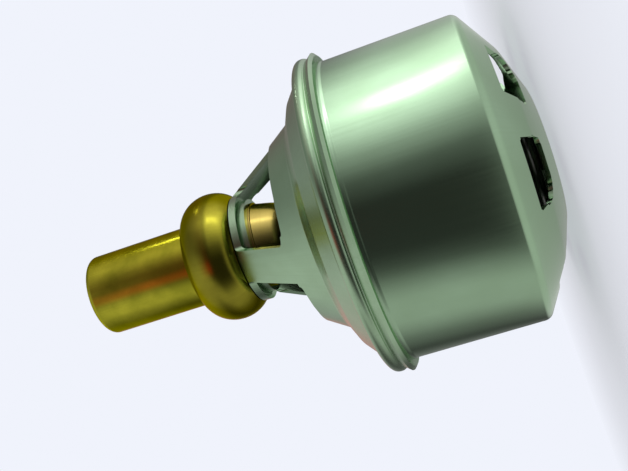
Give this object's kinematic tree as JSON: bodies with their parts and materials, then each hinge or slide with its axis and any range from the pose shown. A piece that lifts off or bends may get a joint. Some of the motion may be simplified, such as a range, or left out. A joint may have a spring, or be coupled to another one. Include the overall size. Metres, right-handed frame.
{
  "type": "engine thermostat",
  "caption": "Wax-driven coolant valve: windowed drawn steel can with a rolled rim, pressed cone cage on arms, brass collar and capsule, sprung disc valve inside.",
  "frame": {"origin": "centre of the can's flat end, which is the bottom of the bounding box", "axes": "+Z along the axis from the can's crown to the wax capsule; +X through the middle of one cage arm"},
  "size_m": [0.0642, 0.0642, 0.0934],
  "materials": {
    "can_steel": "drawn, satin bright",
    "cage_steel": "pressed, satin bright",
    "capsule_brass": "turned, dull",
    "collar_brass": "turned, tarnished",
    "guide_brass": "turned",
    "wax": "copper-filled wax",
    "black_rubber": "moulded",
    "white_plastic": "machined",
    "polished_steel": "ground",
    "valve_steel": "pressed",
    "spring_steel": "drawn wire, ground ends"
  },
  "bodies": {
    "housing": {"housing_can": "can_steel", "cage": "cage_steel", "wax_cup": "capsule_brass", "collar": "collar_brass", "wax_charge": "wax", "squeeze_boot": "black_rubber", "backup_washer": "white_plastic", "guide": "guide_brass", "return_spring": "spring_steel"},
    "valve": {"piston": "polished_steel", "valve_plate": "valve_steel", "valve_seal": "black_rubber"}
  },
  "joints": [
    {"name": "valve_lift", "type": "slide", "parent": "housing", "child": "valve", "axis": [0, 0, -1], "range_m": [0, 0.0095], "stiffness_N_per_m": 1500, "springref_m": -0.012, "deforming": ["return_spring"]}
  ]
}
